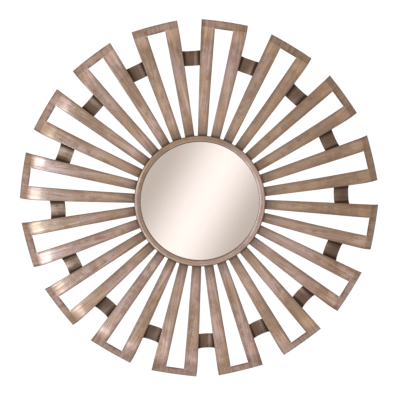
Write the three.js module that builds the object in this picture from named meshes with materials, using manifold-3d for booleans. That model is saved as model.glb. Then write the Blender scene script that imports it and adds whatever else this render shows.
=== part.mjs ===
// Sunburst wall mirror: a small round glass in a bead bezel, with sixteen sheet-metal rays around it.
// Millimetres, +Z up. The wall is the plane y = 0 and the mirror's face looks along -Y.
// The origin is the centre of the flat back, so the sunburst is centred on the Y axis.

import * as THREE from 'three';
import { mergeVertices } from 'three/addons/utils/BufferGeometryUtils.js';
import Module from 'manifold-3d';

const wasm = await Module();
wasm.setup();

// Sizes of the whole mirror
const RAY_COUNT = 16;
const RAY_REACH = 400;
const RAY_ROOT = 124;
const SHEET = 2;
const GAP = 0.3;
const FIRST_RAY_ANGLE = 8.37;
const RAY_PITCH = 360 / RAY_COUNT;

// The rays were set by hand: slow waves carry them up to 0.7 degrees off even spacing.
const SETTING_WAVES = [
  { waves: 1, swing: 0.4, peakRay: 5.7 },
  { waves: 2, swing: 0.25, peakRay: -2.7 },
  { waves: 3, swing: 0.16, peakRay: 1.5 },
];

// Glass and bezel, as radii and thicknesses
const GLASS_EDGE_RADIUS = 138.3;
const GLASS_THICKNESS = 3;
const BEZEL_RADIUS = 146.5;
const BEZEL_LIP_RADIUS = 132.4;
const BEZEL_LIP_HEIGHT = 3.7;
const BEZEL_HEIGHT = 8.6;
const BEZEL_CROWN = 1.8;
const BEAD_STEPS = 8;

// Back of the mirror
const HUB_RADIUS = 142;
const BOARD_RADIUS = 128;
const BOARD_THICKNESS = 12;

// Depths are heights forward of the wall. The front of the spokes at the bezel is the level for all the rest.
const HUB_BACK = BOARD_THICKNESS + GAP;
const HUB_FRONT = HUB_BACK + SHEET;
const RING_LEVEL = HUB_FRONT + GAP + SHEET;

// Side view of a ray's front face: stretches of a set length, each turned back to the wall by some degrees.
const ROOT_FLAT = { length: 20, turn: 0, steps: 1 };
const LEAN = { length: 8, turn: -6, steps: 2 };
const SPOKE_STRAIGHT = { length: 93.5, turn: 0, steps: 1 };
const CROWN = { length: 104.2, turn: 6, steps: 4 };
const CURL = { length: 33.1, turn: 21, steps: 4 };
const CREASE = { length: 2.4, turn: 20, steps: 2 };
const CAP = { length: 30, turn: 14, steps: 3 };

// Plan of a ray as half-widths from its centre line, at radii along it
const OUTER_EDGE = [
  [RAY_ROOT - 10, 21.6],
  [290, 41.6],
  [369, 49.6],
  [RAY_REACH, 51.8],
];
const CAP_EDGE_BOW = 1.8;
const WINDOW_EDGE = [
  [RAY_ROOT - 10, 1.6],
  [268, 13.0],
  [381.4, 20.3],
];
const WINDOW_START = RAY_ROOT - 20;

// Link bands between the rays
const BAND_RADIUS = 316;
const BAND_WIDTH = 32.4;
const BAND_HALF_SPAN = 17.6;
const BAND_HALF_LENGTH = 22.8;
const BAND_BOW = 9;
const BAND_CLEARANCE = 0.5;
const BAND_STEPS = 10;

// Sawtooth hanger let into the top of the board
const HANGER_HEIGHT = 84;
const HANGER_LENGTH = 100;
const HANGER_TALL = 16;
const HANGER_SHEET = 1.2;
const HANGER_FOOT = 18;
const HANGER_RISE = 6;
const TOOTH_PITCH = 4;
const TOOTH_DEPTH = 2.5;
const RECESS_DEPTH = 7;
const RECESS_MARGIN = 4;
const RECESS_ENTRY = 14;
const SCREW_RADIUS = 3.2;
const SCREW_HEAD = 1.2;

// How far a cutting shape reaches past what it cuts
const CUT_REACH = 1;

const ROUND_SIDES = 72;
const HUB_SIDES = 48;
const SCREW_SIDES = 16;

const bronze = new THREE.MeshStandardMaterial({ color: 0xa88d7c, roughness: 0.38, metalness: 0.85 });
const darkBronze = new THREE.MeshStandardMaterial({ color: 0x6d5a4b, roughness: 0.45, metalness: 0.85 });
const mirrorSilver = new THREE.MeshStandardMaterial({ color: 0xe6e2dc, roughness: 0.02, metalness: 1 });
const hubSteel = new THREE.MeshStandardMaterial({ color: 0x5b5048, roughness: 0.5, metalness: 0.8 });
const boardBlack = new THREE.MeshStandardMaterial({ color: 0x3a332d, roughness: 0.85, metalness: 0 });
const zincSteel = new THREE.MeshStandardMaterial({ color: 0xb9b6ae, roughness: 0.35, metalness: 0.9 });

const radians = (degrees) => THREE.MathUtils.degToRad(degrees);

// The three ways in which a flat outline is stood up to be extruded: its x, its y and the way it grows.
const SIDE_VIEW = [new THREE.Vector3(0, 0, 1), new THREE.Vector3(0, -1, 0), new THREE.Vector3(1, 0, 0)];
const FRONT_VIEW = [new THREE.Vector3(1, 0, 0), new THREE.Vector3(0, 0, 1), new THREE.Vector3(0, -1, 0)];
const TOP_VIEW = [new THREE.Vector3(-1, 0, 0), new THREE.Vector3(0, -1, 0), new THREE.Vector3(0, 0, 1)];

function extruded(shape, view, start, depth) {
  const geometry = new THREE.ExtrudeGeometry(shape, { depth, bevelEnabled: false, curveSegments: 4 });
  geometry.translate(0, 0, start);
  return geometry.applyMatrix4(new THREE.Matrix4().makeBasis(...view));
}

function toSolid(geometry) {
  const bare = geometry.clone();
  bare.deleteAttribute('normal');
  bare.deleteAttribute('uv');
  const merged = mergeVertices(bare, 1e-4);
  return new wasm.Manifold(new wasm.Mesh({
    numProp: 3,
    vertProperties: new Float32Array(merged.attributes.position.array),
    triVerts: new Uint32Array(merged.index.array),
  }));
}

function toGeometry(solid) {
  const mesh = solid.getMesh();
  const geometry = new THREE.BufferGeometry();
  geometry.setAttribute('position', new THREE.BufferAttribute(mesh.vertProperties, 3));
  geometry.setIndex(new THREE.BufferAttribute(mesh.triVerts, 1));
  return geometry;
}

// Follows stretches of straight and evenly bent strip from a start, and returns the points passed.
function followBends(start, stretches) {
  const points = [start.clone()];
  const here = start.clone();
  let angle = 0;
  for (const { length, turn, steps } of stretches) {
    for (let step = 0; step < steps; step++) {
      angle -= turn / steps / 2;
      here.x += (length / steps) * Math.cos(radians(angle));
      here.y += (length / steps) * Math.sin(radians(angle));
      angle -= turn / steps / 2;
      points.push(here.clone());
    }
  }
  return points;
}

// A strip of sheet seen from its edge: the front line, and the same line set back by the thickness.
function sheetOutline(front, thickness) {
  const back = front.map((point, i) => {
    const before = front[Math.max(i - 1, 0)];
    const after = front[Math.min(i + 1, front.length - 1)];
    const along = after.clone().sub(before).normalize();
    return new THREE.Vector2(point.x + thickness * along.y, point.y - thickness * along.x);
  });
  return new THREE.Shape([...front, ...back.reverse()].reverse());
}

function rayFrontLine() {
  const start = new THREE.Vector2(RAY_ROOT, RING_LEVEL);
  return followBends(start, [ROOT_FLAT, LEAN, SPOKE_STRAIGHT, CROWN, CURL, CREASE, CAP]);
}

// An outline that is alike on both sides of the centre line. A far end that isn't straight has its own points.
function mirroredOutline(edge, end = []) {
  const right = edge.map(([radius, half]) => new THREE.Vector2(half, radius));
  const left = edge.map(([radius, half]) => new THREE.Vector2(-half, radius)).reverse();
  return new THREE.Shape([...right, ...end, ...left]);
}

function bowedEnd([radius, half], bow) {
  return [0.5, 0, -0.5].map((side) => new THREE.Vector2(side * half, radius + bow * (1 - side * side)));
}

function rayGeometry() {
  const slab = extruded(sheetOutline(rayFrontLine(), SHEET), SIDE_VIEW, -RAY_REACH / 4, RAY_REACH / 2);
  const plan = mirroredOutline(OUTER_EDGE, bowedEnd(OUTER_EDGE.at(-1), CAP_EDGE_BOW));
  const opening = mirroredOutline([[WINDOW_START, WINDOW_EDGE[0][1]], ...WINDOW_EDGE]);
  const reach = RING_LEVEL * 4;
  const outline = toSolid(extruded(plan, FRONT_VIEW, -SHEET, reach));
  const cut = toSolid(extruded(opening, FRONT_VIEW, -SHEET * 2, reach * 2));
  return toGeometry(toSolid(slab).intersect(outline).subtract(cut));
}

// Height of a ray's front face over the wall at a radius along its centre line
function rayFrontAt(radius) {
  const line = rayFrontLine();
  const next = line.findIndex((point) => point.x > radius);
  const [a, b] = [line[next - 1], line[next]];
  return THREE.MathUtils.mapLinear(radius, a.x, b.x, a.y, b.y);
}

// A link band seen along the radius: flat feet behind the spokes, and half an ellipse between them.
function bandGeometry() {
  const line = [new THREE.Vector2(-BAND_HALF_LENGTH, 0)];
  for (let step = 0; step <= BAND_STEPS; step++) {
    const angle = Math.PI * (1 - step / BAND_STEPS);
    line.push(new THREE.Vector2(BAND_HALF_SPAN * Math.cos(angle), -BAND_BOW * Math.sin(angle)));
  }
  line.push(new THREE.Vector2(BAND_HALF_LENGTH, 0));
  return extruded(sheetOutline(line, SHEET), TOP_VIEW, -BAND_WIDTH / 2, BAND_WIDTH);
}

// Turned pieces: points are [radius, height over the wall], in a closed loop.
function turned(points, sides) {
  const profile = points.map(([radius, height]) => new THREE.Vector2(radius, -height));
  return new THREE.LatheGeometry([...profile, profile[0]], sides);
}

function disc(radius, back, front, sides) {
  return turned([[0, front], [radius, front], [radius, back], [0, back]], sides);
}

// The bead is crowned: its face is half a flat ellipse between two straight walls.
function bezelGeometry() {
  const middle = (BEZEL_RADIUS + BEZEL_LIP_RADIUS) / 2;
  const half = (BEZEL_RADIUS - BEZEL_LIP_RADIUS) / 2;
  const bead = [];
  for (let step = 0; step <= BEAD_STEPS; step++) {
    const angle = Math.PI * (1 - step / BEAD_STEPS);
    const drop = BEZEL_CROWN * (1 - Math.sin(angle));
    bead.push([middle + half * Math.cos(angle), RING_LEVEL + BEZEL_HEIGHT - drop]);
  }
  const bottom = RING_LEVEL + GAP;
  const rebate = GLASS_EDGE_RADIUS + GAP;
  return turned([
    ...bead,
    [BEZEL_RADIUS, bottom],
    [rebate, bottom],
    [rebate, RING_LEVEL + BEZEL_LIP_HEIGHT],
    [BEZEL_LIP_RADIUS, RING_LEVEL + BEZEL_LIP_HEIGHT],
  ], ROUND_SIDES);
}

function rectangle(halfWidth, bottom, top) {
  return new THREE.Shape([
    new THREE.Vector2(-halfWidth, bottom),
    new THREE.Vector2(halfWidth, bottom),
    new THREE.Vector2(halfWidth, top),
    new THREE.Vector2(-halfWidth, top),
  ]);
}

// The recess reaches further down than the hanger: a nail's head goes in there and up behind the teeth.
function boardGeometry() {
  const bottom = HANGER_HEIGHT - RECESS_ENTRY;
  const top = HANGER_HEIGHT + HANGER_TALL + RECESS_MARGIN;
  const recess = rectangle(HANGER_LENGTH / 2 + RECESS_MARGIN, bottom, top);
  const board = toSolid(disc(BOARD_RADIUS, 0, BOARD_THICKNESS, ROUND_SIDES));
  const cut = toSolid(extruded(recess, FRONT_VIEW, -CUT_REACH, RECESS_DEPTH + CUT_REACH));
  return toGeometry(board.subtract(cut));
}

// The hanger's two feet lie on the recess's floor, and its toothed middle stands level with the board's back.
function hangerGeometry() {
  const half = HANGER_LENGTH / 2;
  const floor = RECESS_DEPTH - GAP;
  const strip = sheetOutline([
    new THREE.Vector2(-half, floor),
    new THREE.Vector2(-half + HANGER_FOOT, floor),
    new THREE.Vector2(-half + HANGER_FOOT + HANGER_RISE, GAP + HANGER_SHEET),
    new THREE.Vector2(half - HANGER_FOOT - HANGER_RISE, GAP + HANGER_SHEET),
    new THREE.Vector2(half - HANGER_FOOT, floor),
    new THREE.Vector2(half, floor),
  ], HANGER_SHEET);
  const toothedHalf = half - HANGER_FOOT - HANGER_RISE;
  const outline = [
    new THREE.Vector2(-half - CUT_REACH, HANGER_HEIGHT),
    new THREE.Vector2(-toothedHalf, HANGER_HEIGHT),
  ];
  for (let x = -toothedHalf + TOOTH_PITCH / 2; x < toothedHalf; x += TOOTH_PITCH) {
    outline.push(new THREE.Vector2(x, HANGER_HEIGHT + TOOTH_DEPTH));
    outline.push(new THREE.Vector2(x + TOOTH_PITCH / 2, HANGER_HEIGHT));
  }
  outline.push(new THREE.Vector2(half + CUT_REACH, HANGER_HEIGHT));
  outline.push(new THREE.Vector2(half + CUT_REACH, HANGER_HEIGHT + HANGER_TALL));
  outline.push(new THREE.Vector2(-half - CUT_REACH, HANGER_HEIGHT + HANGER_TALL));
  const strap = extruded(strip, TOP_VIEW, HANGER_HEIGHT - CUT_REACH, HANGER_TALL + 2 * CUT_REACH);
  const front = extruded(new THREE.Shape(outline), FRONT_VIEW, -CUT_REACH, RECESS_DEPTH + 2 * CUT_REACH);
  return toGeometry(toSolid(strap).intersect(toSolid(front)));
}

function screwGeometry() {
  const seat = RECESS_DEPTH - GAP - HANGER_SHEET - GAP;
  return disc(SCREW_RADIUS, seat - SCREW_HEAD, seat, SCREW_SIDES);
}

function named(name, geometry, material) {
  const mesh = new THREE.Mesh(geometry, material);
  mesh.name = name;
  return mesh;
}

// Rays are counted clockwise from the top, as seen from the front.
function rayAngle(index) {
  const drift = SETTING_WAVES.reduce((sum, { waves, swing, peakRay }) => (
    sum + swing * Math.cos((2 * Math.PI * waves * (index - peakRay)) / RAY_COUNT)
  ), 0);
  return FIRST_RAY_ANGLE + RAY_PITCH * index + drift;
}

const mirror = new THREE.Group();

mirror.add(named('mirror_glass', disc(
  GLASS_EDGE_RADIUS,
  RING_LEVEL + GAP,
  RING_LEVEL + GAP + GLASS_THICKNESS,
  ROUND_SIDES,
), mirrorSilver));
mirror.add(named('bezel_ring', bezelGeometry(), bronze));
mirror.add(named('hub_plate', disc(HUB_RADIUS, HUB_BACK, HUB_FRONT, HUB_SIDES), hubSteel));
mirror.add(named('backing_board', boardGeometry(), boardBlack));
mirror.add(named('sawtooth_hanger', hangerGeometry(), zincSteel));

for (const [side, name] of [[1, 'hanger_screw_left'], [-1, 'hanger_screw_right']]) {
  const screw = named(name, screwGeometry(), zincSteel);
  screw.position.set((side * (HANGER_LENGTH - HANGER_FOOT)) / 2, 0, HANGER_HEIGHT + HANGER_TALL / 2);
  mirror.add(screw);
}

for (let index = 0; index < RAY_COUNT; index++) {
  const number = String(index + 1).padStart(2, '0');
  const ray = named(`ray_frame_${number}`, rayGeometry(), bronze);
  ray.rotation.y = radians(rayAngle(index));
  mirror.add(ray);

  const footRadius = BAND_RADIUS * Math.cos(radians(RAY_PITCH / 2));
  const slope = (rayFrontAt(footRadius + 5) - rayFrontAt(footRadius - 5)) / 10;
  const band = named(`link_band_${number}`, bandGeometry(), darkBronze);
  band.position.set(0, -(rayFrontAt(footRadius) - SHEET - BAND_CLEARANCE), BAND_RADIUS);
  band.rotation.x = Math.atan(slope);
  const spot = new THREE.Group();
  spot.rotation.y = radians((rayAngle(index) + rayAngle(index + 1)) / 2);
  spot.add(band);
  mirror.add(spot);
}

export default mirror;
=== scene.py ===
# Sunburst wall mirror: brushed bronze rays of bent sheet around a round glass, built over its solid model.
import math

import bpy
from mathutils import Matrix, Vector


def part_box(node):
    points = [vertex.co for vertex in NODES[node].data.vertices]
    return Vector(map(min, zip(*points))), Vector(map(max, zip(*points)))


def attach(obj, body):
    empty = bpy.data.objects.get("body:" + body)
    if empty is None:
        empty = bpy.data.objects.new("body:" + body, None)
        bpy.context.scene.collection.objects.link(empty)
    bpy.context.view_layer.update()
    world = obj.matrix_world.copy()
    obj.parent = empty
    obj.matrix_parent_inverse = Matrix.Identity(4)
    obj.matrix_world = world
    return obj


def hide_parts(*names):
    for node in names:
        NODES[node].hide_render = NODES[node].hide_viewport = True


bl_info = {
    "name": "Sunburst Wall Mirror",
    "version": (1, 0, 0),
    "blender": (4, 5, 0),
    "location": "View3D > Sidebar > Sunburst Mirror",
    "description": "Builds the brushed bronze rays, bezel, glass and back of a sunburst wall mirror",
    "category": "Object",
}

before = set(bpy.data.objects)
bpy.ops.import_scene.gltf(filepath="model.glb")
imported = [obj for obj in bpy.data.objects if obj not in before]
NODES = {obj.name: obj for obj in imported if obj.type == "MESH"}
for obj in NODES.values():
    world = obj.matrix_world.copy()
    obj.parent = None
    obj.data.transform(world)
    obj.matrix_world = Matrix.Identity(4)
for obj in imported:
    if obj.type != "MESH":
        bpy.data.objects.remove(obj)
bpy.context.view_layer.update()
MM = 0.001

# Levels over the wall, read from the solids. The front of the mirror looks along -Y.
HUB_FRONT = -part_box("hub_plate")[0].y
GLASS_FRONT = -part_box("mirror_glass")[0].y
BEZEL_LOW, BEZEL_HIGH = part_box("bezel_ring")

# Sizes of the sheet, the bezel, and the board with its recess
SHEET = 2 * MM
WELD_GAP = 0.3 * MM
RING_LEVEL = HUB_FRONT + WELD_GAP + SHEET
BEZEL_WIDTH = 14.1 * MM
LIP_GAP = 0.4 * MM
BEAD_STEPS = 14
RECESS_DEPTH = 7 * MM
RECESS_MARGIN = 4 * MM
RECESS_ENTRY = 14 * MM
HUB_ROUNDING = 0.5 * MM
BOARD_ROUNDING = 1.2 * MM

# How near two places count as one, in choosing by place and in merging
TOUCH = 0.1 * MM
MERGE = 0.02 * MM

# Angles between faces: smaller ones are shaded smooth, larger ones are sharp edges of sheet
SMOOTH_ANGLE = math.radians(35)
SHARP_ANGLE = math.radians(50)

# Flats around a turned piece
BEZEL_SIDES = 160
DISC_SIDES = 128
SCREW_SIDES = 32

# Reflector card behind the viewer
CARD_CENTRE = (0.078, -3.0, -0.24)
CARD_LEAN = math.radians(29)
CARD_WIDTH = 0.65
CARD_HEIGHT = 3.2
CARD_COLOUR = (1.0, 0.95, 0.97, 1)

# Key light, a soft box on the left
KEY_PLACE = (-1.8, -2.9, -0.6)
KEY_SIZE = (1.95, 2.4)
KEY_COLOUR = (0.72, 0.87, 1.0)

# Floor and room
FLOOR_LEVEL = -1.25
FLOOR_RADIUS = 1.4
FLOOR_TONES = ((0.80, 0.79, 0.77), (0.84, 0.83, 0.81))
ROOM_COLOUR = (1.0, 0.86, 0.77, 1)

# Side view of a ray's front face: stretches of strip, with the degrees that each turns back toward the wall
RAY_ROOT = 124 * MM
RAY_STRETCHES = (
    {"length": 20 * MM, "turn": 0, "steps": 2},
    {"length": 8 * MM, "turn": -6, "steps": 3},
    {"length": 93.5 * MM, "turn": 0, "steps": 6},
    {"length": 104.2 * MM, "turn": 6, "steps": 10},
    {"length": 33.1 * MM, "turn": 21, "steps": 8},
)
CAP_STRETCHES = (
    {"length": 2.4 * MM, "turn": 20, "steps": 3},
    {"length": 20.8 * MM, "turn": 10, "steps": 5},
    {"length": 4 * MM, "turn": 2, "steps": 2},
)

# Half-widths of a ray from its centre line, at radii along it
OUTER_EDGE = ((114 * MM, 21.6 * MM), (290 * MM, 41.6 * MM), (369 * MM, 49.6 * MM), (400 * MM, 51.8 * MM))
WINDOW_EDGE = ((114 * MM, 1.6 * MM), (268 * MM, 13.0 * MM), (381.4 * MM, 20.3 * MM))
CAP_BOW = 1.8 * MM
SPOKE_COLUMNS = (0, 0.075, 0.25, 0.5, 0.75, 0.925, 1)
CAP_COLUMNS = 3

# Where the link bands' spot welds show on a spoke: along the ray from its root, and from its centre line
WELD_ALONG = 209 * MM
WELD_ACROSS = 39 * MM

# The weld's ring in sizes of its mark, and how far the noise bends it
WELD_RING = 1.7
WELD_WOBBLE = 1.6

# Link bands
BAND_HALF_SPAN = 17.6 * MM
BAND_HALF_LENGTH = 22.8 * MM
BAND_BOW = 9 * MM
BAND_WIDTH = 32.4 * MM
BAND_STEPS = 22

# Viewpoint, worked out from the photograph's perspective. The photograph is 400 pixels wide.
PHOTO_SIDE = 400
VIEW_DISTANCE = 1.874
VIEW_ABOVE = math.radians(4.59)
VIEW_FROM_LEFT = math.radians(1.12)
SENSOR_WIDTH = 36
FOCAL_PIXELS = 837.7
CENTRE_PIXEL = (199.91, 201.2)

# Length and width in metres of the brushing's lines. Each copy's brushing starts one shift on from the last
# copy's, and the link bands' 31 shifts on from the rays'.
SCRATCHES = (0.14, 0.0021)
STREAKS = (0.2, 0.008)
SWATHES = (0.1, 0.024)
BRUSHING_SHIFT = (1.37, 0.83)
BAND_SHIFT = 31

# Lighter and darker tone of each plain finish
GLASS_TONES = ((0.95, 0.94, 0.92), (0.86, 0.85, 0.83))
PAINT_TONES = ((0.13, 0.10, 0.08), (0.09, 0.07, 0.055))
BOARD_TONES = ((0.045, 0.04, 0.035), (0.03, 0.027, 0.024))
ZINC_TONES = ((0.62, 0.61, 0.58), (0.5, 0.5, 0.48))


def node_names(prefix):
    return sorted(name for name in NODES if name.startswith(prefix))


def node_angle(name):
    """How far a node's middle lies clockwise from straight up, as seen from the front."""
    mesh = NODES[name].data
    middle = sum((face.center * face.area for face in mesh.polygons), Vector())
    return math.atan2(middle.x, middle.z)


def along(points, at):
    """The value at a place on a broken line of (place, value) points."""
    for (x0, y0), (x1, y1) in zip(points, points[1:]):
        if at <= x1 or (x1, y1) == points[-1]:
            return y0 + (y1 - y0) * (at - x0) / (x1 - x0)


def follow_bends(radius, height, angle, stretches, travelled=0.0):
    """Stations down a strip as (distance, radius, height, heading), like a sheet run through rollers."""
    stations = [(travelled, radius, height, angle)]
    for stretch in stretches:
        step = stretch["length"] / stretch["steps"]
        half_turn = math.radians(stretch["turn"]) / stretch["steps"] / 2
        for _ in range(stretch["steps"]):
            angle -= half_turn
            radius += step * math.cos(angle)
            height += step * math.sin(angle)
            angle -= half_turn
            travelled += step
            stations.append((travelled, radius, height, angle))
    return stations


# Modelling helpers: each drives Blender's own mesh tools
def clear_selection():
    if bpy.context.object and bpy.context.object.mode != "OBJECT":
        bpy.ops.object.mode_set(mode="OBJECT")
    bpy.ops.object.select_all(action="DESELECT")


def add_plane(name, centre, width, height):
    """A plane that faces the viewer, with its place in its mesh."""
    clear_selection()
    bpy.ops.mesh.primitive_plane_add(size=1, rotation=(math.pi / 2, 0, 0))
    piece = bpy.context.active_object
    piece.name = name
    piece.scale = (width, height, 1)
    piece.location = centre
    bpy.ops.object.transform_apply(location=True, rotation=True, scale=True)
    return piece


def choose_vertices(piece, test):
    """Leaves edit mode on, with the vertices selected whose place passes the test."""
    bpy.ops.object.mode_set(mode="EDIT")
    bpy.ops.mesh.select_mode(type="VERT")
    bpy.ops.mesh.select_all(action="DESELECT")
    bpy.ops.object.mode_set(mode="OBJECT")
    for vertex in piece.data.vertices:
        vertex.select = test(vertex.co)
    bpy.ops.object.mode_set(mode="EDIT")


def choose_edges(piece, test):
    """Leaves edit mode on, with the edges selected whose ends both pass the test."""
    choose_vertices(piece, test)
    bpy.ops.mesh.select_mode(type="EDGE")


def draw_out(*step):
    """Draws the selected edges out by a step into new faces, as a sheet is pulled."""
    bpy.ops.mesh.extrude_region_move(TRANSFORM_OT_translate={"value": step})


def select_only(piece):
    clear_selection()
    piece.select_set(True)
    bpy.context.view_layer.objects.active = piece


def apply_modifiers(piece):
    select_only(piece)
    for modifier in list(piece.modifiers):
        bpy.ops.object.modifier_apply(modifier=modifier.name)


def thicken(piece, thickness, edge):
    """Gives a face of sheet its thickness to the rear and breaks its sharp edges."""
    solid = piece.modifiers.new("sheet", "SOLIDIFY")
    solid.thickness = thickness
    solid.offset = -1
    solid.use_even_offset = True
    rounded = piece.modifiers.new("broken edges", "BEVEL")
    rounded.width = edge
    rounded.segments = 2
    rounded.limit_method = "ANGLE"
    rounded.angle_limit = SHARP_ANGLE
    apply_modifiers(piece)


def cut_box(piece, name, size, centre):
    """Cuts a box out of a closed piece."""
    clear_selection()
    bpy.ops.mesh.primitive_cube_add(size=1)
    cutter = bpy.context.active_object
    cutter.scale = size
    cutter.location = centre
    bpy.ops.object.transform_apply(location=True, rotation=True, scale=True)
    cut = piece.modifiers.new(name, "BOOLEAN")
    cut.object = cutter
    cut.solver = "EXACT"
    apply_modifiers(piece)
    bpy.data.objects.remove(cutter)


def shade(piece):
    select_only(piece)
    bpy.ops.object.shade_smooth_by_angle(angle=SMOOTH_ANGLE)


def tidy_normals(piece):
    select_only(piece)
    bpy.ops.object.mode_set(mode="EDIT")
    bpy.ops.mesh.select_all(action="SELECT")
    bpy.ops.mesh.remove_doubles(threshold=MERGE)
    bpy.ops.mesh.normals_make_consistent(inside=False)
    bpy.ops.object.mode_set(mode="OBJECT")


def lay_out(piece, place, edge_mask):
    """Writes the edge mask, and two maps in metres along and across the strip. Copies shift the first."""
    mesh = piece.data
    layers = [mesh.uv_layers.new(name=name) for name in ("brushing", "strip")]
    for face in mesh.polygons:
        for loop in face.loop_indices:
            spot = place(mesh.vertices[mesh.loops[loop].vertex_index].co, face.center)
            for layer in layers:
                layer.data[loop].uv = spot
    mask = mesh.attributes.new("edge_mask", "FLOAT", "POINT")
    for vertex in mesh.vertices:
        mask.data[vertex.index].value = edge_mask(vertex.co)


def place_copy(pattern, name, matrix, index):
    """A copy with its own mesh, turned into place, whose brushing starts somewhere of its own."""
    piece = pattern.copy()
    piece.data = pattern.data.copy()
    piece.name = name
    piece.data.name = name
    piece.data.transform(matrix)
    bpy.context.scene.collection.objects.link(piece)
    shift = Vector([index * step for step in BRUSHING_SHIFT])
    for uv in piece.data.uv_layers["brushing"].data:
        uv.uv += shift
    return piece


def dress(piece, material, slot, *replaced):
    """Finishes a piece: its material, the body it rides on and the nodes that it stands for."""
    piece.data.materials.clear()
    piece.data.materials.append(material)
    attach(piece, "root")
    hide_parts(*replaced)


# Shader helpers
def new_material(name):
    material = bpy.data.materials.new(name)
    material.use_nodes = True
    return material, material.node_tree, material.node_tree.nodes["Principled BSDF"]


def add_node(tree, kind, **settings):
    node = tree.nodes.new(kind)
    for key, value in settings.items():
        setattr(node, key, value)
    return node


def set_inputs(node, **values):
    for key, value in values.items():
        node.inputs[key.replace("_", " ")].default_value = value
    return node


def math_node(tree, operation, first, second=None, clamp=False):
    node = add_node(tree, "ShaderNodeMath", operation=operation, use_clamp=clamp)
    for socket, value in zip(node.inputs, (first, second)):
        if value is None:
            continue
        if isinstance(value, (int, float)):
            socket.default_value = value
        else:
            tree.links.new(value, socket)
    return node.outputs[0]


def blend_colour(tree, factor, first, second):
    node = add_node(tree, "ShaderNodeMix", data_type="RGBA")
    for socket, value in ((node.inputs[0], factor), (node.inputs[6], first), (node.inputs[7], second)):
        if isinstance(value, bpy.types.NodeSocket):
            tree.links.new(value, socket)
        elif isinstance(value, (int, float)):
            socket.default_value = value
        else:
            socket.default_value = (*value, 1)
    return node.outputs[2]


def split(tree, vector):
    """A vector's X, Y and Z."""
    node = add_node(tree, "ShaderNodeSeparateXYZ")
    tree.links.new(vector, node.inputs[0])
    return node.outputs


def add_relief(tree, shader, height, strength):
    bump = set_inputs(add_node(tree, "ShaderNodeBump"), Strength=strength, Distance=0.0002)
    tree.links.new(height, bump.inputs["Height"])
    tree.links.new(bump.outputs["Normal"], shader.inputs["Normal"])


def ramp(tree, value, low, high, out_low=0.0, out_high=1.0):
    node = add_node(tree, "ShaderNodeMapRange", interpolation_type="SMOOTHSTEP")
    tree.links.new(value, node.inputs["Value"])
    set_inputs(node, From_Min=low, From_Max=high, To_Min=out_low, To_Max=out_high)
    return node.outputs["Result"]


def new_group(name, inputs, outputs):
    group = bpy.data.node_groups.new(name, "ShaderNodeTree")
    for label, kind, default in inputs:
        socket = group.interface.new_socket(label, in_out="INPUT", socket_type=kind)
        if default is not None:
            socket.default_value = default
    for label, kind in outputs:
        group.interface.new_socket(label, in_out="OUTPUT", socket_type=kind)
    return group, group.nodes.new("NodeGroupInput"), group.nodes.new("NodeGroupOutput")


def brushed_grain_group():
    """Soft lines drawn out along the brushing, of a given length and width in metres."""
    group, given, made = new_group(
        "brushed grain",
        [("Vector", "NodeSocketVector", None), ("Length", "NodeSocketFloat", 0.06),
         ("Width", "NodeSocketFloat", 0.003)],
        [("Grain", "NodeSocketFloat")],
    )
    parts = split(group, given.outputs["Vector"])
    joined = add_node(group, "ShaderNodeCombineXYZ")
    for axis, size in (("X", "Length"), ("Y", "Width")):
        group.links.new(
            math_node(group, "DIVIDE", parts[axis], given.outputs[size]), joined.inputs[axis])
    noise = add_node(group, "ShaderNodeTexNoise", noise_dimensions="2D")
    set_inputs(noise, Scale=1.0, Detail=1.0, Roughness=0.5)
    group.links.new(joined.outputs[0], noise.inputs["Vector"])
    group.links.new(ramp(group, noise.outputs["Fac"], 0.28, 0.72), made.inputs["Grain"])
    return group


def cloud_group():
    """Soft clouds of tone, a hand or so wide, with smaller blotches in them."""
    group, given, made = new_group(
        "patina clouds",
        [("Vector", "NodeSocketVector", None), ("Size", "NodeSocketFloat", 14.0)],
        [("Clouds", "NodeSocketFloat"), ("Blotches", "NodeSocketFloat")],
    )
    for label, share, detail in (("Clouds", 1.0, 2.0), ("Blotches", 4.5, 3.0)):
        noise = add_node(group, "ShaderNodeTexNoise")
        set_inputs(noise, Detail=detail, Roughness=0.55)
        group.links.new(given.outputs["Vector"], noise.inputs["Vector"])
        group.links.new(math_node(group, "MULTIPLY", given.outputs["Size"], share), noise.inputs["Scale"])
        group.links.new(ramp(group, noise.outputs["Fac"], 0.36, 0.64), made.inputs[label])
    return group


def edge_wear_and_shade_group():
    """Darkening along the sheet's edges: a soft uneven border, and a thin dark line at the very edge. On
    the rays it is wear; in the link bands' corners it is painted shade.
    """
    group, given, made = new_group(
        "edge wear and painted shade",
        [("Edge", "NodeSocketFloat", 0.0), ("Uneven", "NodeSocketFloat", 0.5)],
        [("Border", "NodeSocketFloat"), ("Line", "NodeSocketFloat")],
    )
    uneven = math_node(group, "MULTIPLY", math_node(group, "SUBTRACT", given.outputs["Uneven"], 0.5), 0.3)
    shifted = math_node(group, "ADD", given.outputs["Edge"], uneven)
    group.links.new(ramp(group, shifted, 0.3, 1.05), made.inputs["Border"])
    group.links.new(ramp(group, given.outputs["Edge"], 0.84, 1.0), made.inputs["Line"])
    return group


def shade_and_stain_ring_group():
    """A ring about the Y axis, for painted shade and stains: full at a radius, and fading out over a reach
    on both its sides.
    """
    group, given, made = new_group(
        "ring of painted shade and stain",
        [("Vector", "NodeSocketVector", None), ("Radius", "NodeSocketFloat", 0.15),
         ("Reach", "NodeSocketFloat", 0.01)],
        [("Shade and stain", "NodeSocketFloat")],
    )
    parts = split(group, given.outputs["Vector"])
    squares = [math_node(group, "POWER", parts[axis], 2.0) for axis in "XZ"]
    radius = math_node(group, "SQRT", math_node(group, "ADD", *squares))
    away = math_node(group, "ABSOLUTE", math_node(group, "SUBTRACT", radius, given.outputs["Radius"]))
    share = math_node(group, "DIVIDE", away, given.outputs["Reach"])
    group.links.new(ramp(group, share, 0.0, 1.0, 1.0, 0.0), made.inputs["Shade and stain"])
    return group


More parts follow.
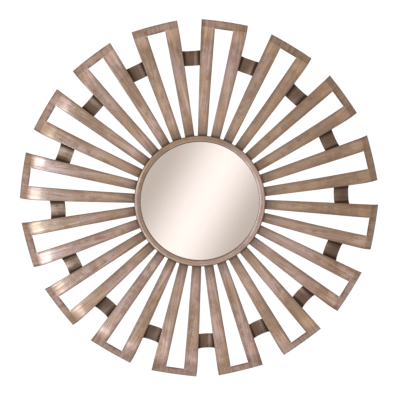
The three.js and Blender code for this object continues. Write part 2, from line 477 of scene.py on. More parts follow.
def weld_group():
    """Faint crooked rings on both spokes of a ray, where spot welds on the back show through the sheet."""
    group, given, made = new_group(
        "weld marks",
        [("Strip", "NodeSocketVector", None), ("Vector", "NodeSocketVector", None),
         ("Along", "NodeSocketFloat", 0.2), ("Across", "NodeSocketFloat", 0.04),
         ("Size", "NodeSocketFloat", 0.0036)],
        [("Mark", "NodeSocketFloat")],
    )
    noise = set_inputs(add_node(group, "ShaderNodeTexNoise"), Scale=110.0, Detail=2.0)
    group.links.new(given.outputs["Vector"], noise.inputs["Vector"])
    parts = split(group, given.outputs["Strip"])
    ahead = math_node(group, "SUBTRACT", parts["X"], given.outputs["Along"])
    off_middle = math_node(group, "ABSOLUTE", parts["Y"])
    aside = math_node(group, "SUBTRACT", off_middle, given.outputs["Across"])
    squares = [math_node(group, "POWER", value, 2.0) for value in (ahead, aside)]
    reach = math_node(group, "SQRT", math_node(group, "ADD", *squares))
    steps = math_node(group, "DIVIDE", reach, given.outputs["Size"])
    wobble = math_node(group, "MULTIPLY", noise.outputs["Fac"], WELD_WOBBLE)
    crooked = math_node(group, "ADD", steps, wobble)
    away = math_node(group, "ABSOLUTE", math_node(group, "SUBTRACT", crooked, WELD_RING))
    ring = ramp(group, away, 0.05, 0.35, 1.0, 0.0)
    broken = ramp(group, noise.outputs["Fac"], 0.42, 0.56)
    group.links.new(math_node(group, "MULTIPLY", ring, broken), made.inputs["Mark"])
    return group


def drift_group():
    """Full on the side that a direction from the middle points to, and none on the other sides; it lays
    painted light and painted shade on one side.
    """
    group, given, made = new_group(
        "patina drift",
        [("Vector", "NodeSocketVector", None), ("Toward", "NodeSocketVector", None),
         ("Start", "NodeSocketFloat", 0.5), ("Full", "NodeSocketFloat", 1.0)],
        [("Share", "NodeSocketFloat")],
    )
    way = add_node(group, "ShaderNodeVectorMath", operation="NORMALIZE")
    group.links.new(given.outputs["Vector"], way.inputs[0])
    dot = add_node(group, "ShaderNodeVectorMath", operation="DOT_PRODUCT")
    group.links.new(way.outputs[0], dot.inputs[0])
    group.links.new(given.outputs["Toward"], dot.inputs[1])
    share = add_node(group, "ShaderNodeMapRange", interpolation_type="SMOOTHSTEP")
    group.links.new(dot.outputs["Value"], share.inputs["Value"])
    group.links.new(given.outputs["Start"], share.inputs["From Min"])
    group.links.new(given.outputs["Full"], share.inputs["From Max"])
    group.links.new(share.outputs["Result"], made.inputs["Share"])
    return group


def use_group(tree, group, **values):
    node = add_node(tree, "ShaderNodeGroup", node_tree=group)
    for key, value in values.items():
        if isinstance(value, bpy.types.NodeSocket):
            tree.links.new(value, node.inputs[key])
        else:
            node.inputs[key].default_value = value
    return node


def brushed_metal(name, groups, finish, tones, side, roughness, rings, border=0.7, stain=0.7, welds=False):
    """Brushed, lacquered bronze: two tones in clouds; a third on one side, painted shade on the rays and
    painted light on the link bands and the bezel; one in streaks; dark edges, worn on the rays and painted
    shade in the link bands' corners; and rings, mostly painted shade.
    """
    material, tree, shader = new_material(name)
    uv = add_node(tree, "ShaderNodeUVMap", uv_map="brushing").outputs[0]
    place = add_node(tree, "ShaderNodeTexCoord").outputs["Object"]
    light, warm, painted_side_tone, dark = tones
    toward, start, full = side

    def grain(length, width):
        return use_group(tree, groups["grain"], Vector=uv, Length=length, Width=width).outputs["Grain"]

    def stained(tone, mask, share, colour):
        """The tone with a share of a colour mixed in where the mask is full."""
        return blend_colour(tree, math_node(tree, "MULTIPLY", mask, share), tone, colour)

    scratches, streaks, swathes = (grain(*lines) for lines in (SCRATCHES, STREAKS, SWATHES))
    clouds = use_group(tree, groups["clouds"], Vector=place, Size=13.0)
    drift = use_group(tree, groups["drift"], Vector=place, Toward=toward, Start=start, Full=full)
    stains = math_node(tree, "MULTIPLY", clouds.outputs["Blotches"], streaks)
    tone = blend_colour(tree, clouds.outputs["Clouds"], light, warm)
    # Painted shade on the rays' side away from the key light; painted light on the lit side of the link
    # bands and of the bezel.
    tone = stained(tone, drift.outputs["Share"], 0.9, painted_side_tone)
    tone = stained(tone, stains, stain, dark)
    tone = stained(tone, swathes, 0.3, dark)
    tone = stained(tone, scratches, 0.45, dark)
    edge = add_node(tree, "ShaderNodeAttribute", attribute_name="edge_mask")
    # On the link bands the edge mask marks their corners, so the border and line there are painted shade;
    # on the rays they are edge wear.
    worn = use_group(tree, groups["edge"], Edge=edge.outputs["Fac"], Uneven=streaks)
    tone = stained(tone, worn.outputs["Border"], border, dark)
    tone = stained(tone, worn.outputs["Line"], 0.7, finish.wax_and_shade)
    height = scratches
    if welds:
        strip = add_node(tree, "ShaderNodeUVMap", uv_map="strip").outputs[0]
        weld = use_group(
            tree, groups["weld"], Strip=strip, Vector=place, Along=WELD_ALONG, Across=WELD_ACROSS)
        tone = stained(tone, weld.outputs["Mark"], 0.5, finish.wax_and_shade)
        height = math_node(tree, "SUBTRACT", scratches, weld.outputs["Mark"])
    # Rings of painted shade at the rays' roots, in the bezel's groove and at its foot, and a faint dark
    # streak round the bezel's face.
    for radius, reach, share in rings:
        shade_and_stain = use_group(tree, groups["ring"], Vector=place, Radius=radius, Reach=reach)
        tone = stained(tone, shade_and_stain.outputs["Shade and stain"], share, finish.wax_and_shade)
    tree.links.new(tone, shader.inputs["Base Color"])
    line = worn.outputs["Line"]
    gloss = ramp(tree, streaks, 0, 1, roughness - 0.04, roughness + 0.06)
    matt = math_node(tree, "MULTIPLY", math_node(tree, "SUBTRACT", 0.75, gloss), line)
    tree.links.new(math_node(tree, "ADD", gloss, matt), shader.inputs["Roughness"])
    lacquer = math_node(tree, "MULTIPLY", math_node(tree, "SUBTRACT", 1.0, line), finish.lacquer)
    tree.links.new(lacquer, shader.inputs["Coat Weight"])
    add_relief(tree, shader, height, 0.12)
    set_inputs(shader, Metallic=1.0, Coat_Roughness=0.34)
    return material


def silvered_glass(groups):
    """Silvered glass with a faint, uneven film of dust."""
    material, tree, shader = new_material("silvered glass")
    place = add_node(tree, "ShaderNodeTexCoord")
    film = use_group(tree, groups["clouds"], Vector=place.outputs["Object"], Size=9.0)
    haze = ramp(tree, film.outputs["Clouds"], 0, 1, 0.02, 0.035)
    tree.links.new(haze, shader.inputs["Roughness"])
    dusty = math_node(tree, "MULTIPLY", film.outputs["Blotches"], 0.06)
    tone = blend_colour(tree, dusty, *GLASS_TONES)
    tree.links.new(tone, shader.inputs["Base Color"])
    set_inputs(shader, Metallic=1.0)
    return material


def plain_finish(name, groups, tones, roughness, metallic, size):
    """A satin painted or plated face, clouded a little and speckled in its gloss."""
    material, tree, shader = new_material(name)
    place = add_node(tree, "ShaderNodeTexCoord")
    patches = use_group(tree, groups["clouds"], Vector=place.outputs["Object"], Size=size)
    tone = blend_colour(tree, patches.outputs["Clouds"], *tones)
    tree.links.new(tone, shader.inputs["Base Color"])
    rough = ramp(tree, patches.outputs["Blotches"], 0, 1, roughness - 0.06, roughness + 0.08)
    tree.links.new(rough, shader.inputs["Roughness"])
    fleck = set_inputs(add_node(tree, "ShaderNodeTexNoise"), Scale=900.0, Detail=2.0)
    tree.links.new(place.outputs["Object"], fleck.inputs["Vector"])
    add_relief(tree, shader, fleck.outputs["Fac"], 0.2)
    set_inputs(shader, Metallic=metallic)
    return material


class SunburstShape(bpy.types.PropertyGroup):
    """Sizes of the sheet and the bezel."""

    sheet: bpy.props.FloatProperty(
        name="Sheet", description="Thickness of the rays and bands", default=SHEET, unit="LENGTH")
    edge_break: bpy.props.FloatProperty(
        name="Edge break", description="Rounding of the sheet's sharp edges",
        default=0.4 * MM, unit="LENGTH")
    roll_width: bpy.props.FloatProperty(
        name="Border width", description="Width of the rolled and worn border of a strip",
        default=12 * MM, unit="LENGTH")
    roll_depth: bpy.props.FloatProperty(
        name="Roll depth", description="How far a strip's border is rolled back",
        default=0.3 * MM, unit="LENGTH")
    crown: bpy.props.FloatProperty(
        name="Bead crown", description="How far the middle of the bezel's face stands over its edges",
        default=1.8 * MM, unit="LENGTH")


class SunburstFinish(bpy.types.PropertyGroup):
    """Colours and gloss of the bronze."""

    # Rosy is also the painted light on the bezel's right, lower side.
    rosy: bpy.props.FloatVectorProperty(
        name="Rosy bronze", description="Lighter, pinker tone of the rays",
        default=(0.70, 0.565, 0.54), size=3, min=0, max=1, subtype="COLOR")
    tan: bpy.props.FloatVectorProperty(
        name="Tan bronze", description="Warmer tone of the rays",
        default=(0.56, 0.435, 0.325), size=3, min=0, max=1, subtype="COLOR")
    # Sand is the painted shade on the rays' side away from the key light, and a cloud tone of the bezel.
    sand: bpy.props.FloatVectorProperty(
        name="Sand bronze", description="Tone of the side with the warmest patina",
        default=(0.45, 0.345, 0.245), size=3, min=0, max=1, subtype="COLOR")
    grey: bpy.props.FloatVectorProperty(
        name="Grey bronze", description="Greyer tone of the bezel",
        default=(0.45, 0.38, 0.345), size=3, min=0, max=1, subtype="COLOR")
    # Smoky is the painted light on the link bands on the key light's side.
    smoky: bpy.props.FloatVectorProperty(
        name="Smoky bronze", description="Tone of the palest link bands",
        default=(0.48, 0.385, 0.31), size=3, min=0, max=1, subtype="COLOR")
    cocoa: bpy.props.FloatVectorProperty(
        name="Cocoa bronze", description="Darker tone of the link bands",
        default=(0.165, 0.115, 0.09), size=3, min=0, max=1, subtype="COLOR")
    umber: bpy.props.FloatVectorProperty(
        name="Umber", description="Dark streaks and stains",
        default=(0.24, 0.155, 0.115), size=3, min=0, max=1, subtype="COLOR")
    # Dark colour of the edge line, the weld marks and the bands' stains, and of the painted shade at the
    # bezel, in its groove and in the link bands' corners.
    wax_and_shade: bpy.props.FloatVectorProperty(
        name="Wax", description="Dark wax along the edges",
        default=(0.085, 0.06, 0.045), size=3, min=0, max=1, subtype="COLOR")
    # Painted shade: the side of the rays away from the key light is mixed toward sand.
    painted_shade_side: bpy.props.FloatVectorProperty(
        name="Warm side", description="Way from the middle toward the side with the warmest patina",
        default=(0.914, 0, 0.407), size=3, subtype="DIRECTION")
    # Painted light: the link bands on the key light's side are mixed toward the smoky tone.
    painted_band_light_side: bpy.props.FloatVectorProperty(
        name="Pale side", description="Way from the middle toward the side with the palest link bands",
        default=(-1, 0, 0), size=3, subtype="DIRECTION")
    # Painted light: the bezel's right, lower side is mixed toward the rosy tone.
    painted_bezel_light_side: bpy.props.FloatVectorProperty(
        name="Bright side", description="Way from the middle toward the side where the bezel is lightest",
        default=(0.87, 0, -0.49), size=3, subtype="DIRECTION")
    # Painted shade: how far the darkening at the rays' roots reaches out from the bezel.
    root_shade: bpy.props.FloatProperty(
        name="Root shade", description="How far dark wax spreads out from the bezel",
        default=42 * MM, unit="LENGTH")
    # Painted shade in the groove between bead and glass.
    groove_shade_width: bpy.props.FloatProperty(
        name="Groove width", description="Dark groove between bead and glass",
        default=3.4 * MM, unit="LENGTH")
    roughness: bpy.props.FloatProperty(
        name="Roughness", description="Gloss of the brushed bronze",
        default=0.26, min=0, max=1, subtype="FACTOR")
    lacquer: bpy.props.FloatProperty(
        name="Lacquer", description="Strength of the clear lacquer over the bronze",
        default=0.25, min=0, max=1, subtype="FACTOR")


class SunburstStudio(bpy.types.PropertyGroup):
    """Strength of the studio's lights."""

    room: bpy.props.FloatProperty(
        name="Room", description="Brightness of the room straight in front of the mirror",
        default=0.58, min=0)
    walls: bpy.props.FloatProperty(
        name="Walls", description="Brightness of the walls around the viewer", default=1.1, min=0)
    sides: bpy.props.FloatProperty(
        name="Sides", description="Brightness of the room beside and behind the mirror",
        default=0.72, min=0)
    lean: bpy.props.FloatProperty(
        name="Left to right", description="How much brighter the room's left side is than its middle",
        default=0.12, min=0, max=1)
    key: bpy.props.FloatProperty(
        name="Key light", description="Power of the light on the left, in watts", default=33.0, min=0)
    card: bpy.props.FloatProperty(
        name="Card", description="Brightness of the leaning reflector card", default=0.55, min=0)


def face_front(piece):
    """Turns a sheet's faces to the viewer."""
    if sum(face.normal.y * face.area for face in piece.data.polygons) > 0:
        bpy.ops.object.mode_set(mode="EDIT")
        bpy.ops.mesh.flip_normals()
        bpy.ops.object.mode_set(mode="OBJECT")


def roll_border(piece, edge_mask, depth):
    """Presses back the rim of a face of sheet, and a third as much the row of points beside it."""
    for low, high, share in ((0.97, 1.1, 1.0), (0.7, 0.97, 0.35)):
        choose_vertices(piece, lambda co: low < edge_mask(co) <= high)
        bpy.ops.transform.shrink_fatten(value=-depth * share)
        bpy.ops.object.mode_set(mode="OBJECT")


def bow_row(piece, on_row, half, bow, heading):
    """Bows a straight row of points outward along the strip, most at its middle."""
    reach = sorted({round(abs(vertex.co.x), 5) for vertex in piece.data.vertices if on_row(vertex.co)})
    for side in reach:
        step = bow * max(0.0, 1 - (side / half) ** 2)
        choose_vertices(piece, lambda co: on_row(co) and abs(abs(co.x) - side) < MERGE)
        bpy.ops.transform.translate(value=(0, -step * math.tan(heading), step))
        bpy.ops.object.mode_set(mode="OBJECT")


def model_ray(shape):
    """One ray, pointing straight up: half of it drawn out along the bends, mirrored and thickened."""
    start = (RAY_ROOT, RING_LEVEL, 0.0)
    spokes = follow_bends(*start, RAY_STRETCHES)
    cap = follow_bends(*spokes[-1][1:], CAP_STRETCHES, travelled=spokes[-1][0])
    stations = spokes + cap[1:]
    window_end, tip = spokes[-1][1], stations[-1][1]

    def sides(radius):
        inner = along(WINDOW_EDGE, min(radius, window_end))
        return inner, along(OUTER_EDGE, radius)

    first, second = stations[:2]
    inner, outer = sides(first[1])
    width = outer - inner
    middle = (first[1] + second[1]) / 2
    column = width * SPOKE_COLUMNS[1]
    ray = add_plane("ray_pattern", (inner + column / 2, -first[2], middle), column, second[1] - first[1])
    choose_edges(ray, lambda co: co.x > inner + column / 2)
    for left, right in zip(SPOKE_COLUMNS[1:], SPOKE_COLUMNS[2:]):
        draw_out((right - left) * width, 0, 0)
    choose_edges(ray, lambda co: co.z > middle)
    centre = (inner + outer) / 2
    for number, (_, radius, height, _) in enumerate(stations[1:]):
        inner, outer = sides(radius)
        new_centre = (inner + outer) / 2
        if number:
            _, last_radius, last_height, _ = stations[number]
            draw_out(0, last_height - height, radius - last_radius)
        bpy.ops.transform.translate(value=(new_centre - centre, 0, 0))
        bpy.ops.transform.resize(
            value=((outer - inner) / width, 1, 1), center_override=(new_centre, -height, radius))
        width, centre = outer - inner, new_centre

    inner = sides(window_end)[0]
    choose_edges(ray, lambda co: co.z > window_end - TOUCH and co.x < inner + TOUCH)
    for _ in range(CAP_COLUMNS):
        draw_out(-inner / CAP_COLUMNS, 0, 0)
    bpy.ops.object.mode_set(mode="OBJECT")
    halves = ray.modifiers.new("other half", "MIRROR")
    halves.merge_threshold = 0.05 * MM
    apply_modifiers(ray)
    tidy_normals(ray)
    face_front(ray)

    distances = [(radius, travelled) for travelled, radius, _, _ in stations]
    end = stations[-1][0]

    def edge_mask(co):
        inner, outer = sides(co.z)
        travelled = along(distances, co.z)
        side = abs(co.x)
        to_edge = min(outer - side, end - travelled)
        if co.z < window_end - TOUCH:
            to_edge = min(to_edge, side - inner)
        elif side < inner + TOUCH:
            to_edge = min(to_edge, travelled - spokes[-1][0])
        return min(1.0, max(0.0, 1 - to_edge / shape.roll_width))

    roll_border(ray, edge_mask, shape.roll_depth)
    bow_row(ray, lambda co: co.z > tip - 0.8 * MM, sides(tip)[1], CAP_BOW, stations[-1][3])
    thicken(ray, shape.sheet, shape.edge_break)
    lay_out(ray, lambda co, _: (along(distances, co.z), co.x), edge_mask)
    shade(ray)
    return ray


class SUNBURST_OT_rays(bpy.types.Operator):
    """Model one ray of brushed sheet and set sixteen of them around the ring"""

    bl_idname = "sunburst.rays"
    bl_label = "Rays"
    bl_options = {"REGISTER", "UNDO"}

    def execute(self, context):
        pattern = model_ray(context.scene.sunburst_shape)
        for index, name in enumerate(node_names("ray_frame_")):
            turn = Matrix.Rotation(node_angle(name), 4, "Y")
            ray = place_copy(pattern, name.replace("frame", "sheet"), turn, index)
            dress(ray, FINISH["bronze"], "brushed_bronze", name)
        bpy.data.objects.remove(pattern)
        return {"FINISHED"}


def model_band(shape):
    """One link band, lying level around the origin: two feet and a bow toward the wall."""
    foot = BAND_HALF_LENGTH - BAND_HALF_SPAN
    centre = (-BAND_HALF_LENGTH + foot / 2, 0, 0)
    band = add_plane("band_pattern", centre, foot, BAND_WIDTH)
    choose_edges(band, lambda co: co.x > centre[0])
    angles = [math.pi * (1 - step / BAND_STEPS) for step in range(BAND_STEPS + 1)]
    route = [(BAND_HALF_SPAN * math.cos(angle), BAND_BOW * math.sin(angle)) for angle in angles]
    route.append((BAND_HALF_LENGTH, 0.0))
    for (x0, y0), (x1, y1) in zip(route, route[1:]):
        draw_out(x1 - x0, y1 - y0, 0)
    bpy.ops.object.mode_set(mode="OBJECT")
    tidy_normals(band)
    face_front(band)
    thicken(band, shape.sheet, shape.edge_break)

    def brushing(co, _):
        return co.z, co.x

    def corner_shade_mask(co):
        """Painted shade in the corners beside the spokes, leaving the middle bright."""
        return min(1.0, (abs(co.x) / (BAND_HALF_SPAN - 2.5 * MM)) ** 2)

    lay_out(band, brushing, corner_shade_mask)
    shade(band)
    return band


def seat_band(name):
    """Where a band's pattern goes: turned to its node's angle, at the node's middle and lean."""
    angle = node_angle(name)
    level = Matrix.Rotation(-angle, 4, "Y")
    corners = [level @ vertex.co for vertex in NODES[name].data.vertices]
    front = min(co.y for co in corners)
    inner = min(co.z for co in corners)
    outer = max(co.z for co in corners)
    # The corners of the feet's front faces, which the lean parts by less than the sheet's thickness
    feet = [co for co in corners if co.y < front + 1.6 * MM and abs(co.x) > BAND_HALF_SPAN + MM]
    low = min((co for co in feet if co.z < (inner + outer) / 2), key=lambda co: co.y)
    high = min((co for co in feet if co.z > (inner + outer) / 2), key=lambda co: co.y)
    lean = math.atan2(low.y - high.y, high.z - low.z)
    middle = Vector((0, (low.y + high.y) / 2, (low.z + high.z) / 2))
    return Matrix.Rotation(angle, 4, "Y") @ Matrix.Translation(middle) @ Matrix.Rotation(lean, 4, "X")


class SUNBURST_OT_bands(bpy.types.Operator):
    """Model one bowed link band and weld a copy between each two neighbouring rays"""

    bl_idname = "sunburst.bands"
    bl_label = "Link bands"
    bl_options = {"REGISTER", "UNDO"}

    def execute(self, context):
        pattern = model_band(context.scene.sunburst_shape)
        for index, name in enumerate(node_names("link_band_")):
            strap = name.replace("link_band", "link_strap")
            band = place_copy(pattern, strap, seat_band(name), index + BAND_SHIFT)
            dress(band, FINISH["dark bronze"], "dark_bronze", name)
        bpy.data.objects.remove(pattern)
        return {"FINISHED"}


def flat_section(name, left, right, front, back):
    """A rectangle in the plane of radius and depth, ready to be cut, rounded and spun about the Y axis."""
    clear_selection()
    bpy.ops.mesh.primitive_plane_add(size=1)
    piece = bpy.context.active_object
    piece.name = name
    piece.scale = (right - left, front - back, 1)
    piece.location = ((left + right) / 2, -(front + back) / 2, 0)
    bpy.ops.object.transform_apply(location=True, rotation=True, scale=True)
    return piece


def spin_section(piece, steps):
    """Turns a flat section into a closed ring or disc about the Y axis."""
    bpy.ops.object.mode_set(mode="EDIT")
    bpy.ops.mesh.select_all(action="SELECT")
    bpy.ops.mesh.dissolve_faces()
    bpy.ops.mesh.delete(type="ONLY_FACE")
    bpy.ops.mesh.select_all(action="SELECT")
    bpy.ops.mesh.spin(steps=steps, angle=2 * math.pi, center=(0, 0, 0), axis=(0, 1, 0), use_auto_merge=True)
    bpy.ops.object.mode_set(mode="OBJECT")
    tidy_normals(piece)


def around(co, centre, radius):
    """Brushing that runs round the Y axis: the way round, without a jump inside a face, and the radius."""
    middle = math.atan2(centre.x, centre.z)
    turn = math.atan2(co.x, co.z) - middle
    turn = (turn + math.pi) % (2 * math.pi) - math.pi
    return (middle + turn) * radius, math.hypot(co.x, co.z) - co.y


class SUNBURST_OT_bezel(bpy.types.Operator):
    """Cut and round the section of the bead ring and spin it round the glass"""

    bl_idname = "sunburst.bezel"
    bl_label = "Bezel"
    bl_options = {"REGISTER", "UNDO"}

    def execute(self, context):
        shape = context.scene.sunburst_shape
        outer = BEZEL_HIGH.x
        inner = outer - BEZEL_WIDTH
        front, back = -BEZEL_LOW.y, -BEZEL_HIGH.y
        lip = GLASS_FRONT + LIP_GAP
        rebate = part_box("mirror_glass")[1].x + WELD_GAP
        bead = flat_section("bezel_bead", inner, outer, front, lip)
        self.crown(bead, (inner + outer) / 2, BEZEL_WIDTH / 2, shape.crown)
        bpy.ops.mesh.select_all(action="SELECT")
        bpy.ops.mesh.bisect(plane_co=(rebate, 0, 0), plane_no=(1, 0, 0))
        choose_edges(bead, lambda co: co.y > -lip - TOUCH and co.x > rebate - TOUCH)
        draw_out(0, lip - back, 0)
        bpy.ops.object.mode_set(mode="OBJECT")
        spin_section(bead, BEZEL_SIDES)

        def brushing(co, centre):
            return around(co, centre, outer)

        lay_out(bead, brushing, lambda co: 0.0)
        shade(bead)
        dress(bead, FINISH["bead bronze"], "brushed_bronze", "bezel_ring")
        return {"FINISHED"}

    def crown(self, bead, middle, half, rise):
        """Cuts the top edge of the section into short lengths and sets them along half an ellipse."""
        top = min(vertex.co.y for vertex in bead.data.vertices)
        choose_edges(bead, lambda co: co.y < top + TOUCH)
        bpy.ops.mesh.subdivide(number_cuts=BEAD_STEPS - 1)
        for step in range(BEAD_STEPS + 1):
            angle = math.pi * step / BEAD_STEPS
            x = middle + half * (1 - 2 * step / BEAD_STEPS)
            move = (middle + half * math.cos(angle) - x, rise * (1 - math.sin(angle)), 0)
            choose_vertices(bead, lambda co: co.y < top + 0.01 * MM and abs(co.x - x) < 0.01 * MM)
            bpy.ops.transform.translate(value=move)


class SUNBURST_OT_glass(bpy.types.Operator):
    """Silver the glass"""

    bl_idname = "sunburst.glass"
    bl_label = "Glass"
    bl_options = {"REGISTER", "UNDO"}

    def execute(self, context):
        NODES["mirror_glass"].material_slots[0].material = FINISH["silver"]
        return {"FINISHED"}


def turned_disc(name, radius, front, back, rounding):
    """A disc about the Y axis with its rim's corners rounded."""
    disc = flat_section(name, 0, radius, front, back)
    choose_vertices(disc, lambda co: co.x > radius - TOUCH)
    bpy.ops.mesh.bevel(offset=rounding, segments=3, affect="VERTICES")
    bpy.ops.object.mode_set(mode="OBJECT")
    spin_section(disc, DISC_SIDES)
    return disc


class SUNBURST_OT_back(bpy.types.Operator):
    """Turn the hub plate and the board, cut the hanger's recess, and finish the hanger and its screws"""

    bl_idname = "sunburst.back"
    bl_label = "Back"
    bl_options = {"REGISTER", "UNDO"}

    def execute(self, context):
        low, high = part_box("hub_plate")
        hub = turned_disc("hub_disc", high.x, -low.y, -high.y, HUB_ROUNDING)
        shade(hub)
        dress(hub, FINISH["hub paint"], "hub_steel", "hub_plate")

        low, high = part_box("backing_board")
        board = turned_disc("back_board", high.x, -low.y, -high.y, BOARD_ROUNDING)
        low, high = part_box("sawtooth_hanger")
        bottom, top = low.z - RECESS_ENTRY, high.z + RECESS_MARGIN
        size = (high.x - low.x + 2 * RECESS_MARGIN, RECESS_DEPTH * 2, top - bottom)
        cut_box(board, "recess", size, ((low.x + high.x) / 2, 0, (bottom + top) / 2))
        shade(board)
        dress(board, FINISH["board"], "black_board", "backing_board")

        NODES["sawtooth_hanger"].material_slots[0].material = FINISH["zinc"]
        for name in node_names("hanger_screw_"):
            self.screw(name)
        return {"FINISHED"}

    def screw(self, name):
        """A pan head with a cross driven into it."""
        low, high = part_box(name)
        radius = (high.x - low.x) / 2
        seat, top = -low.y, -high.y
        head = flat_section(name.replace("hanger_screw", "pan_screw"), 0, radius, seat, top)
        choose_vertices(head, lambda co: co.x > radius - TOUCH and co.y > -top - TOUCH)
        bpy.ops.mesh.bevel(offset=(seat - top) * 0.8, segments=4, affect="VERTICES")
        bpy.ops.object.mode_set(mode="OBJECT")
        spin_section(head, SCREW_SIDES)
        for wide, tall in ((radius * 1.3, radius * 0.3), (radius * 0.3, radius * 1.3)):
            cut_box(head, "slot", (wide, (seat - top) * 1.2, tall), (0, -top, 0))
        head.data.transform(Matrix.Translation(((low.x + high.x) / 2, 0, (low.z + high.z) / 2)))
        shade(head)
        dress(head, FINISH["zinc"], "zinc_steel", name)


class SUNBURST_OT_stage(bpy.types.Operator):
    """Set the pale floor, the lights, the reflector card and the camera"""

    bl_idname = "sunburst.stage"
    bl_label = "Stage"
    bl_options = {"REGISTER", "UNDO"}

    def execute(self, context):
        studio = context.scene.sunburst_studio
        self.floor()
        self.card(studio)
        self.room(studio)
        self.lamp(studio.key)
        self.camera()
        context.scene.view_settings.view_transform = "Standard"
        return {"FINISHED"}

    def floor(self):
        clear_selection()
        bpy.ops.mesh.primitive_circle_add(
            vertices=96, radius=FLOOR_RADIUS, fill_type="NGON", location=(0, 0, FLOOR_LEVEL))
        floor = bpy.context.active_object
        floor.name = "pale_floor"
        material, tree, shader = new_material("pale floor")
        grain = set_inputs(add_node(tree, "ShaderNodeTexNoise"), Scale=40.0)
        tone = blend_colour(tree, grain.outputs["Fac"], *FLOOR_TONES)
        tree.links.new(tone, shader.inputs["Base Color"])
        set_inputs(shader, Roughness=0.7)
        floor.data.materials.append(material)

    def card(self, studio):
        """A card behind the viewer that only reflections see, brightest along a leaning band."""
        clear_selection()
        bpy.ops.mesh.primitive_plane_add(size=1, rotation=(math.pi / 2, CARD_LEAN, 0), location=CARD_CENTRE)
        card = bpy.context.active_object
        card.name = "reflector_card"
        card.scale = (CARD_WIDTH, CARD_HEIGHT, 1)
        card.visible_camera = False
        material = bpy.data.materials.new("reflector card")
        material.use_nodes = True
        tree = material.node_tree
        tree.nodes.clear()
        place = add_node(tree, "ShaderNodeTexCoord")
        aside = math_node(tree, "ABSOLUTE", split(tree, place.outputs["Object"])["X"])
        glow = ramp(tree, aside, 0.0, 0.5, studio.card, 0.0)
        emission = add_node(tree, "ShaderNodeEmission")
        set_inputs(emission, Color=CARD_COLOUR)
        tree.links.new(glow, emission.inputs["Strength"])
        clear = add_node(tree, "ShaderNodeBsdfTransparent")
        both = add_node(tree, "ShaderNodeAddShader")
        tree.links.new(emission.outputs[0], both.inputs[0])
        tree.links.new(clear.outputs[0], both.inputs[1])
        end = add_node(tree, "ShaderNodeOutputMaterial")
        tree.links.new(both.outputs[0], end.inputs["Surface"])
        card.data.materials.append(material)

    def room(self, studio):
        """A white surround in view, and a warm grey room for the metal to reflect."""
        world = bpy.data.worlds.new("studio")
        bpy.context.scene.world = world
        world.use_nodes = True
        tree = world.node_tree
        tree.nodes.clear()
        seen = set_inputs(add_node(tree, "ShaderNodeBackground"), Color=(1, 1, 1, 1), Strength=1.05)
        felt = set_inputs(add_node(tree, "ShaderNodeBackground"), Color=ROOM_COLOUR)
        place = add_node(tree, "ShaderNodeTexCoord")
        # A direction: Y is -1 straight in front of the mirror, and X is -1 on the viewer's left
        parts = split(tree, place.outputs["Generated"])
        near = ramp(tree, parts["Y"], -0.993, -0.92, studio.room, studio.walls)
        far = ramp(tree, parts["Y"], -0.8, -0.1, 0.0, studio.sides - studio.walls)
        aside = ramp(tree, parts["X"], -1.0, 1.0, 1 + studio.lean, 1 - studio.lean)
        glow = math_node(tree, "MULTIPLY", math_node(tree, "ADD", near, far), aside)
        tree.links.new(glow, felt.inputs["Strength"])
        rays = add_node(tree, "ShaderNodeLightPath")
        mixed = add_node(tree, "ShaderNodeMixShader")
        tree.links.new(rays.outputs["Is Camera Ray"], mixed.inputs[0])
        tree.links.new(felt.outputs[0], mixed.inputs[1])
        tree.links.new(seen.outputs[0], mixed.inputs[2])
        end = add_node(tree, "ShaderNodeOutputWorld")
        tree.links.new(mixed.outputs[0], end.inputs["Surface"])

    def lamp(self, power):
        """A tall soft box low on the left."""
        lamp = bpy.data.lights.new("key_light", "AREA")
        lamp.shape = "RECTANGLE"
        lamp.size, lamp.size_y = KEY_SIZE
        lamp.energy = power
        lamp.color = KEY_COLOUR
        holder = bpy.data.objects.new("key_light", lamp)
        bpy.context.scene.collection.objects.link(holder)
        holder.location = KEY_PLACE
        holder.rotation_euler = (-Vector(KEY_PLACE)).to_track_quat("-Z", "Y").to_euler()

    def camera(self):
        target = Vector((0, -RING_LEVEL, 0))
        level = math.cos(VIEW_ABOVE)
        toward = Vector((
            -math.sin(VIEW_FROM_LEFT),
            -level * math.cos(VIEW_FROM_LEFT),
            math.sin(VIEW_ABOVE) * math.cos(VIEW_FROM_LEFT),
        ))
        lens = bpy.data.cameras.new("viewpoint")
        lens.sensor_width = SENSOR_WIDTH
        lens.lens = FOCAL_PIXELS / PHOTO_SIDE * SENSOR_WIDTH
        lens.shift_x = (PHOTO_SIDE / 2 - CENTRE_PIXEL[0]) / PHOTO_SIDE
        lens.shift_y = (CENTRE_PIXEL[1] - PHOTO_SIDE / 2) / PHOTO_SIDE
        camera = bpy.data.objects.new("viewpoint", lens)
        bpy.context.scene.collection.objects.link(camera)
        camera.location = target + toward * VIEW_DISTANCE
        camera.rotation_euler = (-toward).to_track_quat("-Z", "Y").to_euler()
        bpy.context.scene.camera = camera


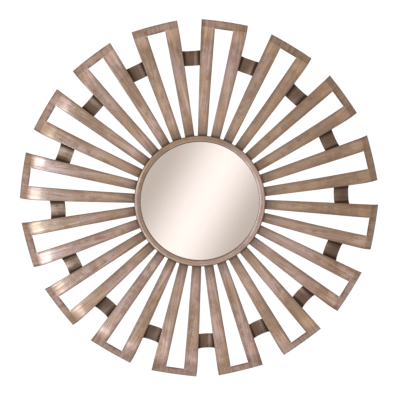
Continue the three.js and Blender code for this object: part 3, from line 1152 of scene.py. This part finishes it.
class SUNBURST_OT_finishes(bpy.types.Operator):
    """Mix the bronze, silver, paint, board and zinc finishes"""

    bl_idname = "sunburst.finishes"
    bl_label = "Finishes"
    bl_options = {"REGISTER", "UNDO"}

    def execute(self, context):
        finish = context.scene.sunburst_finish
        groups = {
            "grain": brushed_grain_group(),
            "clouds": cloud_group(),
            "edge": edge_wear_and_shade_group(),
            "ring": shade_and_stain_ring_group(),
            "weld": weld_group(),
            "drift": drift_group(),
        }
        outer = BEZEL_HIGH.x
        # Painted shade at the rays' roots: broad and faint, with a darker line at the bezel's foot.
        root_shade_rings = ((outer, finish.root_shade, 0.55), (outer, 7 * MM, 0.8))
        # Painted shade in the groove by the glass and at the bead's foot, and a faint dark streak round the
        # middle of its face.
        bead_shade_and_stain_rings = (
            (outer - BEZEL_WIDTH, finish.groove_shade_width, 0.9),
            (outer - BEZEL_WIDTH / 2, 2.5 * MM, 0.15),
            (outer, 4 * MM, 0.95),
        )
        tones = (finish.rosy, finish.tan, finish.sand, finish.umber)
        bead_tones = (finish.grey, finish.sand, finish.rosy, finish.umber)
        dark_tones = (finish.umber, finish.cocoa, finish.smoky, finish.wax_and_shade)
        # Painted shade on the rays' side away from the key light.
        painted_shade_side = (finish.painted_shade_side, 0.55, 0.95)
        # Painted light on the link bands on the key light's side.
        painted_band_light_side = (finish.painted_band_light_side, 0.72, 0.9)
        # Painted light on the bezel's right, lower side.
        painted_bezel_light_side = (finish.painted_bezel_light_side, 0, 0.6)
        FINISH["bronze"] = brushed_metal(
            "brushed bronze", groups, finish, tones, painted_shade_side, finish.roughness, root_shade_rings, welds=True)
        FINISH["bead bronze"] = brushed_metal(
            "bead bronze", groups, finish, bead_tones, painted_bezel_light_side, finish.roughness + 0.03, bead_shade_and_stain_rings)
        FINISH["dark bronze"] = brushed_metal(
            "dark bronze", groups, finish, dark_tones, painted_band_light_side, finish.roughness + 0.2, (),
            border=0.8, stain=0.8)
        FINISH["silver"] = silvered_glass(groups)
        FINISH["hub paint"] = plain_finish("hub paint", groups, PAINT_TONES, 0.5, 0.6, 20.0)
        FINISH["board"] = plain_finish("painted board", groups, BOARD_TONES, 0.8, 0.0, 30.0)
        FINISH["zinc"] = plain_finish("zinc", groups, ZINC_TONES, 0.35, 1.0, 60.0)
        return {"FINISHED"}


FINISH = {}
STEPS = (
    SUNBURST_OT_finishes,
    SUNBURST_OT_rays,
    SUNBURST_OT_bands,
    SUNBURST_OT_bezel,
    SUNBURST_OT_glass,
    SUNBURST_OT_back,
    SUNBURST_OT_stage,
)
SETTINGS = (
    ("sunburst_shape", SunburstShape),
    ("sunburst_finish", SunburstFinish),
    ("sunburst_studio", SunburstStudio),
)


class SUNBURST_PT_panel(bpy.types.Panel):
    """The steps that build the mirror, in order, with their settings"""

    bl_label = "Sunburst Mirror"
    bl_idname = "SUNBURST_PT_panel"
    bl_space_type = "VIEW_3D"
    bl_region_type = "UI"
    bl_category = "Sunburst Mirror"

    def draw(self, context):
        for name, settings in SETTINGS:
            box = self.layout.box()
            for key in settings.__annotations__:
                box.prop(getattr(context.scene, name), key)
        for step in STEPS:
            self.layout.operator(step.bl_idname)


def register():
    for name, settings in SETTINGS:
        bpy.utils.register_class(settings)
        setattr(bpy.types.Scene, name, bpy.props.PointerProperty(type=settings))
    for cls in (*STEPS, SUNBURST_PT_panel):
        bpy.utils.register_class(cls)


def unregister():
    for cls in (SUNBURST_PT_panel, *reversed(STEPS)):
        bpy.utils.unregister_class(cls)
    for name, settings in reversed(SETTINGS):
        delattr(bpy.types.Scene, name)
        bpy.utils.unregister_class(settings)


def main():
    register()
    bpy.ops.sunburst.finishes()
    bpy.ops.sunburst.rays()
    bpy.ops.sunburst.bands()
    bpy.ops.sunburst.bezel()
    bpy.ops.sunburst.glass()
    bpy.ops.sunburst.back()
    bpy.ops.sunburst.stage()
    clear_selection()


if __name__ == "__main__":
    main()
